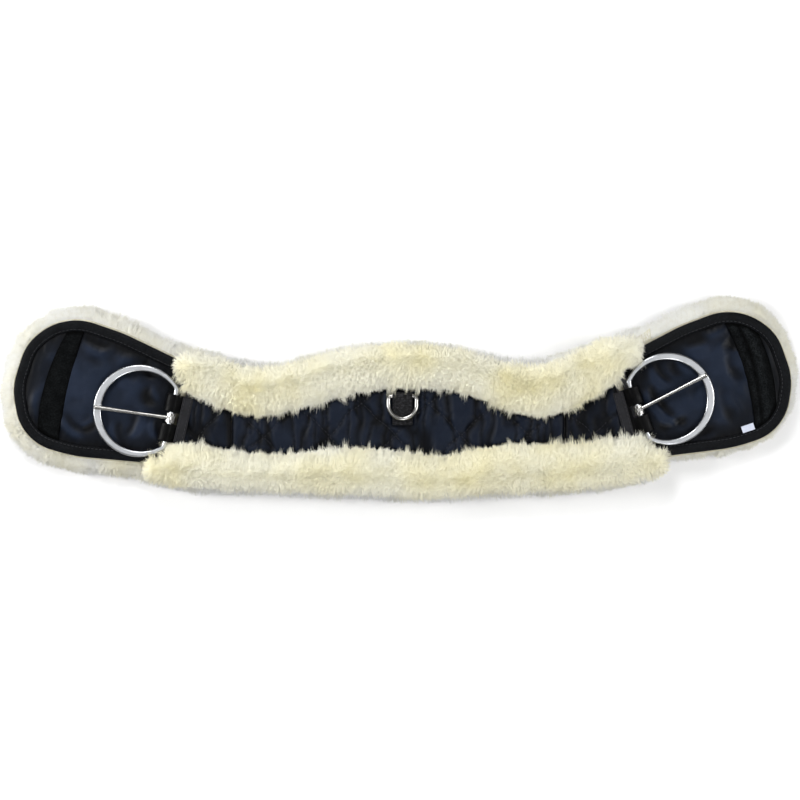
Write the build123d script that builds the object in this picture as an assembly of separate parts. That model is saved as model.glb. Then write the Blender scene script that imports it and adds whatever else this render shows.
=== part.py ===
"""Fleece-lined western girth (cinch), lying flat with its fleece side down.

X runs along the girth, +Y towards its concave edge, +Z up. Lengths are millimetres. The origin
is the middle of the footprint, on the surface that the fleece rests on.
"""

import os
from math import atan2, degrees

from build123d import *

# ---- heights of the layers, from the fleece face up ----
PILE_TOP = 13.9            # sheepskin pile under the whole girth
HIDE_BOTTOM, HIDE_TOP = 14.0, 15.3
BINDING_BOTTOM, BINDING_TOP = 15.4, 21.2
FOAM_BOTTOM, FOAM_TOP = 16.6, 19.0
COVER_BOTTOM, COVER_TOP = 19.05, 20.0
CORE_BOTTOM, CORE_TOP = 15.4, 20.0
WEB_BOTTOM, WEB_TOP = 20.1, 21.9
QUILT_BOTTOM, QUILT_TOP = 22.0, 24.0
ROLL_BOTTOM, ROLL_TOP = 16.2, 35.0

# ---- end pads: one outline, used mirrored on the left ----
PAD_X = {"left": 300.0, "right": 303.0}
PAD_Y = {"left": 8.0, "right": 15.5}
PAD_TURN = {"left": 15.5, "right": 17.5}     # degrees that each pad rises towards its tip
PAD_INNER_END = -80.0
PAD_UPPER_CORNERS = [(PAD_INNER_END, 49), (-5, 62.5), (56, 66), (86, 27)]
PAD_LOWER_CORNERS = [(87.5, -20), (64, -69), (10, -69.5), (PAD_INNER_END, -53)]
PAD_RADII = [150, 58, 50, 60, 50, 150]
BINDING_WIDTH = 11.0
BINDING_WALL = 1.5
HIDE_MARGIN = 1.6          # the hide shows as a thin line outside the binding
FLEECE_MARGIN = {"left": 10.0, "right": 7.0}
FLEECE_SHIFT = {"left": (0.0, -1.0), "right": (-3.0, 5.0)}
HIDE_TO_ROLL = 0.4         # clearance of the rolls and the core from the hide's outline

# ---- fleece rolls: x, upper outer edge, upper inner edge, lower inner edge, lower outer edge ----
ROLL_STATIONS = [
    (-210, 45, 11, -47, -85),
    (-150, 31, -12, -57, -88),
    (-80, 41, 1, -54, -91),
    (0, 53, 15, -55, -95),
    (50, 49, 13, -59, -95),
    (95, 38, -2, -49, -91),
    (133, 34, -13, -47, -90),
    (180, 48, -1, -47, -87),
    (225, 63, 27, -40, -82),
]
UPPER_ROLL_TIPS = [(-225, 38, 18), (237, 61, 39)]      # x, outer edge, inner edge of the rounded tips
LOWER_ROLL_TIPS = [(-253, -62, -79), (263, -50, -71)]  # x, inner edge, outer edge of the rounded tips
ROLL_TIP_HEIGHT = 17.0
LINING_PAST_ROLL = 2.0
HIDE_INSIDE_ROLL = 6.0

# ---- where the layers of the middle end, hidden under the pads: x, y of each edge ----
LAYER_UPPER_ENDS = [(-248, 50), (250, 72)]
LAYER_LOWER_ENDS = [(-262, -75), (252, -76), (268, -62)]

# ---- quilted middle ----
PANEL_GAP = 2.2            # between the quilted panels and the rolls
CORE_GAP = 4.2             # between the core foam and the rolls
STITCH_GAP = 7.2           # between the quilting stitches and the rolls
PANEL_SEAMS = (-170.0, 164.0)
SEAM_GAP = 0.3
PANEL_UPPER_ENDS = [(-240, 16), (252, 33)]
PANEL_LOWER_ENDS = [(-240, -46), (252, -38)]

# ---- buckles: a flat D on a round bar ----
BAR_X = 230.5
BAR_Y = {"left": -18.0, "right": -10.0}
BAR_SHIFT = {"left": 0.0, "right": 7.0}      # the right bar sits this much further out
BUCKLE_TURN = {"left": 13.0, "right": 20.3}
BAR_RADIUS = 2.6
BAR_Z = 25.0
BAR_HALF_LENGTH = 26.0
OUTER_RADIUS, OUTER_CENTER = 46.2, 32.0
INNER_RADIUS, INNER_CENTER = 39.8, 30.0
FRAME_THICKNESS = 4.2
FRAME_EDGE = 1.9
FRAME_OUTER_CORNER = 8.0
FRAME_INNER_CORNER = 4.0
FRAME_ROOM = 0.8
SWING_REACH = 20.0         # how far from the bar the rolls are cut to the frame's full width
TONGUE_SKEW = {"left": -4.6, "right": 7.2}   # the tongue lies a little askew on the bar
TONGUE_LENGTH = 77.0
TONGUE_RISE = 3.6
TONGUE_NECK, TONGUE_WAIST, TONGUE_HEAD = 2.4, 1.9, 2.3     # radii of the rod along its length
COLLAR_RADIUS = 4.7
BEAD_RADIUS = 1.2
COLLAR_WIDTH = 9.6
COLLAR_ROWS = 3
COLLAR_LOBES = 8
COLLAR_GROOVE = 0.5
RUNNING_FIT = 0.08

# ---- straps that hold the buckles ----
STRAP_HALF_WIDTH = 24.0
STRAP_THICKNESS = 1.8
STRAP_TAIL = 13.0
STRAP_KNEE = 7.5           # where the two plies of the strap meet behind the bar
SLOT_WIDTH = 12.0
SLOT_LENGTH = 7.0          # how far the slot runs back from the bar
STRIP_WIDTH = 10.4
STRIP_THICKNESS = 1.6
STRIP_HALF_LENGTH = 24.0
STRIP_CENTER = {"left": -13.2, "right": -15.6}
STRIP_TURN = {"left": 0.0, "right": -5.0}
STRIP_LIFT = 0.35          # the strip sits on a thin layer of glue
STRAP_BASE = COVER_TOP + 0.1
STRIP_BOTTOM = STRAP_BASE + 2 * STRAP_THICKNESS + STRIP_LIFT
CORE_WEB_WIDTH = 26.0
CORE_WEB_START = [(-214, -22), (-160, -34), (-80, -28), (0, -20)]
CORE_WEB_END = [(60, -22), (125, -30), (180, -24), (221, -9)]

# ---- elastic keepers ----
KEEPER_WIDTH = 25.0
KEEPER_THICKNESS = 1.5
KEEPER_CENTER = {"left": 46.5, "right": 59.5}
KEEPER_BOW = 300.0         # radius of the keeper's edges

# ---- centre ring and its tab ----
RING_X, RING_BAR_Y, RING_BAR_Z = 1.5, 4.0, 28.0
RING_WIRE = 2.2
RING_HALF_WIDTH = 14.05
RING_HEIGHT = 22.6
RING_CORNER = 4.0
RING_REST_RISE = 5.4       # degrees, lying on its stitched tab
TAB_WIDTH = 20.0
TAB_THICKNESS = 1.5
TAB_BOTTOM = 24.1
TAB_END_Y = -25.0
TAB_KNEE = 9.0             # where the tab's two plies meet below the ring's bar

# ---- stitches and label ----
STITCH_LENGTH, STITCH_WIDTH, STITCH_HEIGHT = 2.8, 0.7, 0.35
STITCH_PITCH = 4.0
BINDING_STITCH_INSET = 9.2
STITCH_LIFT = 0.02
QUILT_PITCH = 66.0
QUILT_CROSSING = (-72.0, -36.0)
QUILT_LINES = range(-2, 5)
QUILT_REACH = 60.0
QUILT_SPAN = (-200.0, 205.0)     # the quilting stops where the leather strips begin
CLEAR_OF_TAB = 4.0
CLEAR_OF_SEAM = 3.0
LABEL_SIZE = (13.0, 8.0, 0.3)
LABEL_PLACE = (347.6, -28.5)
LABEL_TURN = 19.0

SIDES = ("left", "right")
FAR = 300.0                # longer than anything that it cuts


# ---- placing ----
def onto_side(shape, side, x, y, turn, z=0.0):
    """Turn and move a shape drawn about its own origin; the left one is mirrored to -X."""
    placed = Pos(x, y, z) * Rot(0, 0, turn) * shape
    return mirror(placed, about=Plane.YZ) if side == "left" else placed


def onto_pad(shape, side):
    return onto_side(shape, side, PAD_X[side], PAD_Y[side], PAD_TURN[side])


def onto_bar(shape, side, z=0.0):
    return onto_side(shape, side, BAR_X + BAR_SHIFT[side], BAR_Y[side], BUCKLE_TURN[side], z)


def between(face, bottom, top):
    """A prism of the face from one height to another."""
    return Pos(0, 0, bottom) * extrude(face, amount=top - bottom, dir=(0, 0, 1))


# ---- outlines ----
def pad_face(grow=0.0):
    """The pad's outline, grown or shrunk all round."""
    corners = PAD_UPPER_CORNERS + PAD_LOWER_CORNERS
    edge = FilletPolyline(*corners, radius=PAD_RADII)
    closing = Line(corners[-1], corners[0])
    face = make_face([edge, closing])
    return offset(face, amount=grow) if grow else face


def band_face(upper, lower):
    """The area between two edges, each a list of points in order of x."""
    top = Spline(*upper)
    bottom = Spline(*lower)
    ends = [Line(upper[0], lower[0]), Line(upper[-1], lower[-1])]
    return make_face([top, bottom, *ends])


def panel_band(gap=PANEL_GAP):
    """The navy band between the two rolls, from buckle to buckle."""
    upper = [(x, inner - gap) for x, _, inner, _, _ in ROLL_STATIONS]
    lower = [(x, inner + gap) for x, _, _, inner, _ in ROLL_STATIONS]
    upper = [PANEL_UPPER_ENDS[0], *upper, PANEL_UPPER_ENDS[1]]
    lower = [PANEL_LOWER_ENDS[0], *lower, PANEL_LOWER_ENDS[1]]
    return band_face(upper, lower)


def girth_face(pad_grow, shift, edge_grow):
    """Both pads and the centre band as one area, for the layers that run the whole length."""
    upper = [(x, outer + edge_grow) for x, outer, _, _, _ in ROLL_STATIONS]
    lower = [(x, outer - edge_grow) for x, _, _, _, outer in ROLL_STATIONS]
    upper = [LAYER_UPPER_ENDS[0], *upper, *LAYER_UPPER_ENDS[1:]]
    lower = [LAYER_LOWER_ENDS[0], *lower, *LAYER_LOWER_ENDS[1:]]
    face = band_face(upper, lower)
    for side in SIDES:
        dx, dy = shift[side]
        face = face + Pos(dx, dy) * onto_pad(pad_face(pad_grow[side]), side)
    return face


def outside_strip(side, distance):
    """Everything beyond the line of the buckle's strap, this far in from its bar."""
    block = Pos(FAR / 2 - distance, 0, 0) * Box(FAR, FAR, FAR)
    return onto_bar(block, side)


# ---- sheepskin ----
def lining():
    return between(girth_face(FLEECE_MARGIN, FLEECE_SHIFT, LINING_PAST_ROLL), 0, PILE_TOP)


def hide():
    margin = {side: HIDE_MARGIN for side in SIDES}
    still = {side: (0.0, 0.0) for side in SIDES}
    return between(girth_face(margin, still, -HIDE_INSIDE_ROLL), HIDE_BOTTOM, HIDE_TOP)


def buckle_room():
    """The space that the buckle fills as it swings up, with a little to spare."""
    behind_bar = 2 * BAR_RADIUS
    ring = Pos(OUTER_CENTER, 0) * Circle(OUTER_RADIUS + FRAME_ROOM)
    ring = ring & Pos(FAR / 2 - behind_bar, 0) * Rectangle(FAR, FAR)
    swing = Pos((SWING_REACH - behind_bar) / 2, 0) * Rectangle(SWING_REACH + behind_bar, 2 * OUTER_RADIUS)
    return between(ring + swing, BINDING_TOP, 2 * ROLL_TOP)


def roll(stations):
    """A fleece roll lofted through ovals, cut out where it rides over the ends of the pads."""
    middle = (ROLL_BOTTOM + ROLL_TOP) / 2
    full = (ROLL_TOP - ROLL_BOTTOM) / 2
    ovals = []
    for number, (x, edge_a, edge_b) in enumerate(stations):
        tip = number in (0, len(stations) - 1)
        height = ROLL_TIP_HEIGHT / 2 if tip else full
        across = Plane(origin=(x, (edge_a + edge_b) / 2, middle), x_dir=(0, 1, 0), z_dir=(1, 0, 0))
        ovals.append(across * Ellipse(abs(edge_a - edge_b) / 2, height))
    body = loft(ovals)
    for side in SIDES:
        pad_room = between(pad_face(HIDE_MARGIN + HIDE_TO_ROLL), 0, BINDING_TOP + HIDE_TO_ROLL)
        body = body - onto_pad(pad_room, side) - onto_bar(buckle_room(), side)
    return body


def upper_roll():
    stations = [(x, outer, inner) for x, outer, inner, _, _ in ROLL_STATIONS]
    return roll([UPPER_ROLL_TIPS[0], *stations, UPPER_ROLL_TIPS[1]])


def lower_roll():
    stations = [(x, inner, outer) for x, _, _, inner, outer in ROLL_STATIONS]
    return roll([LOWER_ROLL_TIPS[0], *stations, LOWER_ROLL_TIPS[1]])


# ---- end pads ----
def pad_foam():
    return between(pad_face(-BINDING_WALL - 1.5), FOAM_BOTTOM, FOAM_TOP)


def pad_cover():
    return between(pad_face(-BINDING_WALL - 0.1), COVER_BOTTOM, COVER_TOP)


def binding():
    """A folded tape round the pad's edge: two flanges and the wall between them."""
    tape = between(pad_face(), BINDING_BOTTOM, BINDING_TOP)
    tape -= between(pad_face(-BINDING_WIDTH), 0, BINDING_TOP + 1)
    tape -= between(pad_face(-BINDING_WALL), FOAM_BOTTOM - 0.1, COVER_TOP + 0.05)
    open_end = Pos(PAD_INNER_END, 0, 0) * Box(2 * BINDING_WIDTH, FAR, FAR)
    return tape - open_end


def keeper(side):
    """An elastic band across the pad, its ends caught at the binding."""
    middle = KEEPER_CENTER[side]
    outer = middle + KEEPER_WIDTH / 2
    inner = middle - KEEPER_WIDTH / 2
    band = Pos(outer - KEEPER_BOW, 0) * Circle(KEEPER_BOW)
    band = band - Pos(inner - KEEPER_BOW, 0) * Circle(KEEPER_BOW)
    band = band & Pos(middle, 0) * Rectangle(4 * KEEPER_WIDTH, FAR)
    band = band & pad_face(-BINDING_WIDTH - 0.2)
    return between(band, COVER_TOP + 0.05, COVER_TOP + 0.05 + KEEPER_THICKNESS)


def stitch():
    return Box(STITCH_LENGTH, STITCH_WIDTH, STITCH_HEIGHT)


def stitches_along(line, height, keep=None):
    """Separate stitches lying on a surface, evenly spaced along a line."""
    count = int(line.length / STITCH_PITCH)
    placed = []
    for number in range(count):
        spot = line.position_at((number + 0.5) / count)
        along = line.tangent_at((number + 0.5) / count)
        if keep is None or keep(spot):
            turn = degrees(atan2(along.Y, along.X))
            middle = height + STITCH_LIFT + STITCH_HEIGHT / 2
            placed.append(Pos(spot.X, spot.Y, middle) * Rot(0, 0, turn) * stitch())
    return placed


def binding_stitches():
    line = pad_face(-BINDING_STITCH_INSET).face().outer_wire()
    clear_of_end = PAD_INNER_END + BINDING_WIDTH + 3
    return stitches_along(line, BINDING_TOP, lambda spot: spot.X > clear_of_end)


# ---- centre band ----
def core_foam():
    body = between(panel_band(CORE_GAP), CORE_BOTTOM, CORE_TOP)
    for side in SIDES:
        body = body - onto_pad(between(pad_face(HIDE_MARGIN + HIDE_TO_ROLL), 0, BINDING_TOP), side)
    return body


def core_webbing():
    """The load strap that joins the two buckle straps under the quilting."""
    stations = CORE_WEB_START + CORE_WEB_END
    route = Spline(*stations)
    half = CORE_WEB_WIDTH / 2
    upper = []
    lower = []
    for number in range(len(stations)):
        share = number / (len(stations) - 1)
        spot = route @ share
        along = route % share
        upper.append((spot.X - along.Y * half, spot.Y + along.X * half))
        lower.append((spot.X + along.Y * half, spot.Y - along.X * half))
    body = between(band_face(upper, lower), WEB_BOTTOM, WEB_TOP)
    for side in SIDES:
        body = body - outside_strip(side, STRAP_TAIL + 0.6)
    return body


def quilted_panel(name):
    """One of the three panels of the quilted cover, cut at the seams."""
    body = between(panel_band(), QUILT_BOTTOM, QUILT_TOP)
    for side in SIDES:
        body = body - outside_strip(side, STRAP_TAIL + 0.4)
    left_seam, right_seam = PANEL_SEAMS
    spans = {
        "left": (-FAR, left_seam - SEAM_GAP / 2),
        "center": (left_seam + SEAM_GAP / 2, right_seam - SEAM_GAP / 2),
        "right": (right_seam + SEAM_GAP / 2, FAR),
    }
    start, end = spans[name]
    return body & Pos((start + end) / 2, 0, 0) * Box(end - start, FAR, FAR)


def quilting():
    """Diagonal lines of stitches that cross in a row along the panels."""
    band = panel_band(STITCH_GAP).face()
    placed = []
    for number in QUILT_LINES:
        middle_x = QUILT_CROSSING[0] + number * QUILT_PITCH
        for lean in (-1, 1):
            start = (middle_x - QUILT_REACH, QUILT_CROSSING[1] - QUILT_REACH * lean)
            end = (middle_x + QUILT_REACH, QUILT_CROSSING[1] + QUILT_REACH * lean)
            placed += stitches_along(Line(start, end), QUILT_TOP)
    clear = []
    for mark in placed:
        spot = mark.center()
        on_band = band.is_inside(Vector(spot.X, spot.Y, 0)) and QUILT_SPAN[0] < spot.X < QUILT_SPAN[1]
        near_tab = abs(spot.X - RING_X) < TAB_WIDTH / 2 + CLEAR_OF_TAB and spot.Y > TAB_END_Y - CLEAR_OF_TAB
        near_seam = min(abs(spot.X - seam) for seam in PANEL_SEAMS) < CLEAR_OF_SEAM
        if on_band and not near_tab and not near_seam:
            clear.append(mark)
    return clear


# ---- buckle straps ----
def buckle_strap():
    """A strap folded round the bar, with a slot in the fold for the tongue."""
    outer = BAR_RADIUS + RUNNING_FIT + STRAP_THICKNESS
    plies = 2 * STRAP_THICKNESS
    middle = STRAP_BASE + plies / 2
    fold = Pos(0, BAR_Z) * Circle(outer)
    knee = Pos(-STRAP_KNEE, middle) * Rectangle(1, plies)
    tail = Pos(-(STRAP_TAIL + STRAP_KNEE) / 2, middle) * Rectangle(STRAP_TAIL - STRAP_KNEE, plies)
    profile = make_hull([*fold.edges(), *knee.edges()]) + tail
    profile = profile - Pos(0, BAR_Z) * Circle(BAR_RADIUS + RUNNING_FIT)
    profile = profile & Pos(0, STRAP_BASE + FAR / 2) * Rectangle(FAR, FAR)
    upright = Plane(origin=(0, STRAP_HALF_WIDTH, 0), x_dir=(1, 0, 0), z_dir=(0, -1, 0))
    strap = extrude(upright * profile, amount=2 * STRAP_HALF_WIDTH)
    slot = Pos(outer, 0, BAR_Z) * Box(2 * (outer + SLOT_LENGTH), SLOT_WIDTH, FAR)
    return strap - slot


def strip(side):
    """The narrow leather strip sewn over the end of the strap."""
    block = Box(STRIP_WIDTH, 2 * STRIP_HALF_LENGTH, STRIP_THICKNESS)
    body = Pos(0, 0, STRIP_BOTTOM + STRIP_THICKNESS / 2) * block
    body = chamfer(body.edges().group_by(Axis.Z)[-1], STRIP_THICKNESS / 4)
    return Pos(STRIP_CENTER[side], 0, 0) * Rot(0, 0, STRIP_TURN[side]) * body


def strip_stitches(side):
    """Two rows of stitches along the strip."""
    top = STRIP_BOTTOM + STRIP_THICKNESS
    rows = []
    inset = 2.0
    across = STRIP_WIDTH / 2 - inset
    reach = STRIP_HALF_LENGTH - inset
    for row_x in (-across, across):
        rows += stitches_along(Line((row_x, -reach), (row_x, reach)), top)
    return [Pos(STRIP_CENTER[side], 0, 0) * Rot(0, 0, STRIP_TURN[side]) * mark for mark in rows]


# ---- buckles ----
def buckle_frame():
    """A flat D, wide at its round end, whose straight side is a round bar."""
    past_bar = Pos(FAR / 2, 0) * Rectangle(FAR, FAR)
    outer = Pos(OUTER_CENTER, 0) * Circle(OUTER_RADIUS) & Pos(-BAR_RADIUS, 0) * past_bar
    outer = fillet(outer.vertices(), FRAME_OUTER_CORNER)
    hole = Pos(INNER_CENTER, 0) * Circle(INNER_RADIUS) & Pos(BAR_RADIUS, 0) * past_bar
    hole = fillet(hole.vertices(), FRAME_INNER_CORNER)
    plate = extrude(outer - hole, amount=FRAME_THICKNESS)
    plate = Pos(0, 0, -FRAME_THICKNESS / 2) * plate
    flats = plate.faces().filter_by(Axis.Z)
    plate = fillet(flats.edges(), FRAME_EDGE)
    plate -= Box(4 * BAR_RADIUS - 2, 2 * (BAR_HALF_LENGTH - 1), FAR)
    bar = Rot(90, 0, 0) * Cylinder(BAR_RADIUS, 2 * BAR_HALF_LENGTH)
    return plate + bar


def tongue(side):
    """A round rod that tapers a little, on a beaded collar that turns on the bar."""
    nose_x = TONGUE_LENGTH - TONGUE_HEAD
    waist_x = TONGUE_LENGTH * 0.4
    start = [(BAR_RADIUS, 0), (BAR_RADIUS, TONGUE_NECK), (waist_x, TONGUE_WAIST)]
    end = [(nose_x, TONGUE_HEAD), (nose_x, 0)]
    rod = revolve(make_face(Polyline(*start, *end, close=True)), axis=Axis.X)
    rod = rod + Pos(nose_x, 0, 0) * Sphere(TONGUE_HEAD)
    rod = Rot(0, 0, TONGUE_SKEW[side]) * Rot(0, -TONGUE_RISE, 0) * rod
    body = Rot(90, 0, 0) * Cylinder(COLLAR_RADIUS - BEAD_RADIUS, COLLAR_WIDTH)
    row_pitch = COLLAR_WIDTH / COLLAR_ROWS
    bead_length = row_pitch - COLLAR_GROOVE
    for row in range(COLLAR_ROWS):
        outline = Circle(COLLAR_RADIUS - 0.5)
        turn = row * 180 / COLLAR_LOBES
        for spot in PolarLocations(COLLAR_RADIUS - BEAD_RADIUS, COLLAR_LOBES, start_angle=turn):
            outline = outline + spot * Circle(BEAD_RADIUS)
        far_face = (row - 1) * row_pitch + bead_length / 2
        body += Pos(0, far_face, 0) * Rot(90, 0, 0) * extrude(outline, amount=bead_length)
    body = body + rod
    return body - Rot(90, 0, 0) * Cylinder(BAR_RADIUS + RUNNING_FIT, FAR)


# ---- centre ring ----
def ring():
    """A small D-ring of round wire, drawn about its bar and hanging towards -Y."""
    corner = RING_CORNER
    half = RING_HALF_WIDTH
    arc_y = half - RING_HEIGHT
    path = Wire([
        Line((0, 0), (half - corner, 0)),
        RadiusArc((half - corner, 0), (half, -corner), corner),
        Line((half, -corner), (half, arc_y)),
        ThreePointArc((half, arc_y), (0, arc_y - half), (-half, arc_y)),
        Line((-half, arc_y), (-half, -corner)),
        RadiusArc((-half, -corner), (-half + corner, 0), corner),
        Line((-half + corner, 0), (0, 0)),
    ])
    section = Plane(origin=(0, 0, 0), z_dir=(1, 0, 0)) * Circle(RING_WIRE)
    return sweep(section, path=path)


def ring_in_place():
    return Pos(RING_X, RING_BAR_Y, RING_BAR_Z) * Rot(-RING_REST_RISE, 0, 0) * ring()


def ring_tab():
    """A webbing tab folded round the ring's bar, both ends sewn down below it."""
    inner = RING_WIRE + RUNNING_FIT
    outer = inner + TAB_THICKNESS
    plies = 2 * TAB_THICKNESS
    middle = TAB_BOTTOM + plies / 2
    length = RING_BAR_Y - TAB_END_Y
    fold = Pos(0, RING_BAR_Z) * Circle(outer)
    knee = Pos(-TAB_KNEE, middle) * Rectangle(2, plies)
    tail = Pos(-(length + TAB_KNEE) / 2, middle) * Rectangle(length - TAB_KNEE, plies)
    profile = make_hull([*fold.edges(), *knee.edges()]) + tail
    profile = profile - Pos(0, RING_BAR_Z) * Circle(inner)
    profile = profile & Pos(0, TAB_BOTTOM + FAR / 2) * Rectangle(FAR, FAR)
    lying = Plane(origin=(RING_X - TAB_WIDTH / 2, RING_BAR_Y, 0), x_dir=(0, 1, 0), z_dir=(1, 0, 0))
    return extrude(lying * profile, amount=TAB_WIDTH)


def tab_stitches():
    row_y = TAB_END_Y + 2
    reach = TAB_WIDTH / 2 - 1
    line = Line((RING_X - reach, row_y), (RING_X + reach, row_y))
    return stitches_along(line, TAB_BOTTOM + 2 * TAB_THICKNESS)


# ---- label ----
def label():
    middle = COVER_TOP + 0.05 + LABEL_SIZE[2] / 2
    tag = Pos(*LABEL_PLACE, middle) * Rot(0, 0, LABEL_TURN) * Box(*LABEL_SIZE)
    return tag - onto_pad(binding(), "right")


# ---- every piece, each in its own file ----
pieces = {
    "fleece_lining": lining(),
    "lining_hide": hide(),
    "fleece_roll_upper": upper_roll(),
    "fleece_roll_lower": lower_roll(),
    "core_foam": core_foam(),
    "core_webbing": core_webbing(),
    "center_ring": ring_in_place(),
    "center_ring_tab": ring_tab(),
    "center_tab_stitches": Compound(tab_stitches()),
    "quilting_stitches": Compound(quilting()),
    "size_label": label(),
}
for panel in ("left", "center", "right"):
    pieces[f"quilted_panel_{panel}"] = quilted_panel(panel)
for side in SIDES:
    edge_stitches = [onto_pad(mark, side) for mark in binding_stitches()]
    strap_stitches = [onto_bar(mark, side) for mark in strip_stitches(side)]
    pieces[f"pad_foam_{side}"] = onto_pad(pad_foam(), side)
    pieces[f"pad_cover_{side}"] = onto_pad(pad_cover(), side)
    pieces[f"pad_binding_{side}"] = onto_pad(binding(), side)
    pieces[f"binding_stitches_{side}"] = Compound(edge_stitches)
    pieces[f"elastic_keeper_{side}"] = onto_pad(keeper(side), side)
    pieces[f"buckle_strap_{side}"] = onto_bar(buckle_strap(), side)
    pieces[f"strap_strip_{side}"] = onto_bar(strip(side), side)
    pieces[f"strip_stitches_{side}"] = Compound(strap_stitches)
    pieces[f"buckle_frame_{side}"] = onto_bar(buckle_frame(), side, BAR_Z)
    pieces[f"buckle_tongue_{side}"] = onto_bar(tongue(side), side, BAR_Z)

os.makedirs("parts", exist_ok=True)
for name, shape in pieces.items():
    export_step(shape, f"parts/{name}.step")
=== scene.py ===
"""Looks of the fleece-lined girth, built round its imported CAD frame. Lengths are in millimetres
inside the mesh code, and are turned into metres when a mesh is made."""

import math

import bmesh
import bpy
import numpy as np
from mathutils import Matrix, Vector, kdtree
from mathutils.geometry import delaunay_2d_cdt


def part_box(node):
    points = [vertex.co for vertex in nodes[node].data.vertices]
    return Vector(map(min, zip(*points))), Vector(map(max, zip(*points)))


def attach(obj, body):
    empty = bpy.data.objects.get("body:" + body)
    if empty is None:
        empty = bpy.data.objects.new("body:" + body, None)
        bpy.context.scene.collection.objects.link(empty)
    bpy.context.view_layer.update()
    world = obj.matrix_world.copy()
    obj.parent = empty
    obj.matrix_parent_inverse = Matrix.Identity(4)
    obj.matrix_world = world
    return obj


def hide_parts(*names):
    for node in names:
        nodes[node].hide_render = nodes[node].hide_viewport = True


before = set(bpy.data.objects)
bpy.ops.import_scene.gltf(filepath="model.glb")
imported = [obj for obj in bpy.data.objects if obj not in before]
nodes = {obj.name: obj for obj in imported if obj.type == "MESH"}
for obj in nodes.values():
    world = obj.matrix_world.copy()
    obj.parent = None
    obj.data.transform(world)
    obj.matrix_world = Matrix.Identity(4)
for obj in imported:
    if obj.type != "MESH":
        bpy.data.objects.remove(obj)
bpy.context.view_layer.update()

MM = 0.001
SIDES = ("left", "right")

# ---- how each end lies: the middle of its pad, the middle of its bar, and their turns ----
PAD_MIDDLE = {"left": (-300.0, 8.0), "right": (303.0, 15.5)}
PAD_TURN = {"left": 15.5, "right": 17.5}
BAR_MIDDLE = {"left": (-230.5, -18.0), "right": (237.5, -10.0)}
BAR_OUTWARD = {side: (sign * math.cos(math.radians(turn)), math.sin(math.radians(turn)))
               for side, sign, turn in (("left", -1, 13.0), ("right", 1, 20.3))}
COVER_INSET = 1.6          # the CAD cover's outline lies this far inside the pad's
COVER_Z = 20.0             # top of the CAD pad covers
QUILT_Z = 22.4             # top of the CAD quilted panels
BINDING_STITCH_Z = 21.62
PAD_CEILING, PAD_CEILING_GIVE = 21.9, 0.7      # the nylon's folds flatten out above this
THREAD_LIFT = 0.12         # how far a quilting stitch's middle lies above the cloth

# ---- how far the room over the quilting reaches ----
TAB_HALF_WIDTH, TAB_END, TAB_MIDDLE = 10.5, -27.0, 1.5
STRIP_INNER_EDGES = (-222.0, 226.0)

# ---- quilting: diagonals that cross in a row ----
QUILT_PITCH = 66.0
QUILT_CROSSING = (-72.0, -36.0)

# ---- wool ----
LINING_STRETCHES = (-500, -310, -150, 0, 150, 310, 500)    # where each stretch of pile begins and ends
ROLL_STRANDS = 38000
WISP_COUNT = 5000
STRAND_POINTS = 7          # two rings of three and a tip
WOOL_FLOOR = 0.3           # no strand reaches lower


# ==== Small helpers ====
def smooth_noise(points, scale, seed, octaves=2):
    """Value noise in about -1..1 at (n, 2) or (n, 3) points, from a seeded lattice."""
    points = np.asarray(points, float)
    if points.shape[1] == 2:
        points = np.column_stack([points, np.zeros(len(points))])
    total = np.zeros(len(points))
    weight = 1.0
    norm = 0.0
    for octave in range(octaves):
        lattice = np.random.default_rng(seed + 31 * octave).uniform(-1, 1, (32, 32, 32))
        q = points / scale * 2 ** octave + 100.0
        cell = np.floor(q).astype(int)
        t = q - cell
        t = t * t * (3 - 2 * t)
        value = np.zeros(len(points))
        for corner in range(8):
            step = np.array([corner & 1, corner >> 1 & 1, corner >> 2 & 1])
            share = np.prod(np.where(step, t, 1 - t), axis=1)
            index = (cell + step) % 32
            value += share * lattice[index[:, 0], index[:, 1], index[:, 2]]
        total += weight * value
        norm += weight
        weight *= 0.5
    return total / norm


def triangle_mesh(name, points, triangles):
    """A mesh from arrays: points in millimetres, and index triples."""
    mesh = bpy.data.meshes.new(name)
    mesh.vertices.add(len(points))
    mesh.vertices.foreach_set("co", (np.asarray(points) * MM).astype(np.float32).ravel())
    mesh.loops.add(triangles.size)
    mesh.loops.foreach_set("vertex_index", triangles.astype(np.int32).ravel())
    mesh.polygons.add(len(triangles))
    mesh.polygons.foreach_set("loop_start", np.arange(0, triangles.size, 3, dtype=np.int32))
    mesh.update(calc_edges=True)
    mesh.validate()
    return mesh


def piece(name, mesh, material):
    """An object of the scene with one material."""
    made = bpy.data.objects.new(name, mesh)
    bpy.context.scene.collection.objects.link(made)
    mesh.materials.clear()
    mesh.materials.append(material)
    shade_smooth(mesh)
    return made


def dress(made, body, slot, *replaced):
    """The piece rides a body and stands for CAD nodes; slot is not used."""
    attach(made, body)
    if replaced:
        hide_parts(*replaced)


def coordinates(mesh):
    """A mesh's points, in millimetres."""
    flat = np.empty(len(mesh.vertices) * 3, np.float32)
    mesh.vertices.foreach_get("co", flat)
    return flat.reshape(-1, 3).astype(float) / MM


def set_coordinates(mesh, points):
    mesh.vertices.foreach_set("co", (points * MM).astype(np.float32).ravel())
    mesh.update()


def normals_of(mesh):
    """The normal at each of a mesh's points."""
    flat = np.empty(len(mesh.vertices) * 3, np.float32)
    mesh.vertices.foreach_get("normal", flat)
    return flat.reshape(-1, 3)


def shade_smooth(mesh):
    mesh.polygons.foreach_set("use_smooth", np.ones(len(mesh.polygons), bool))


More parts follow.
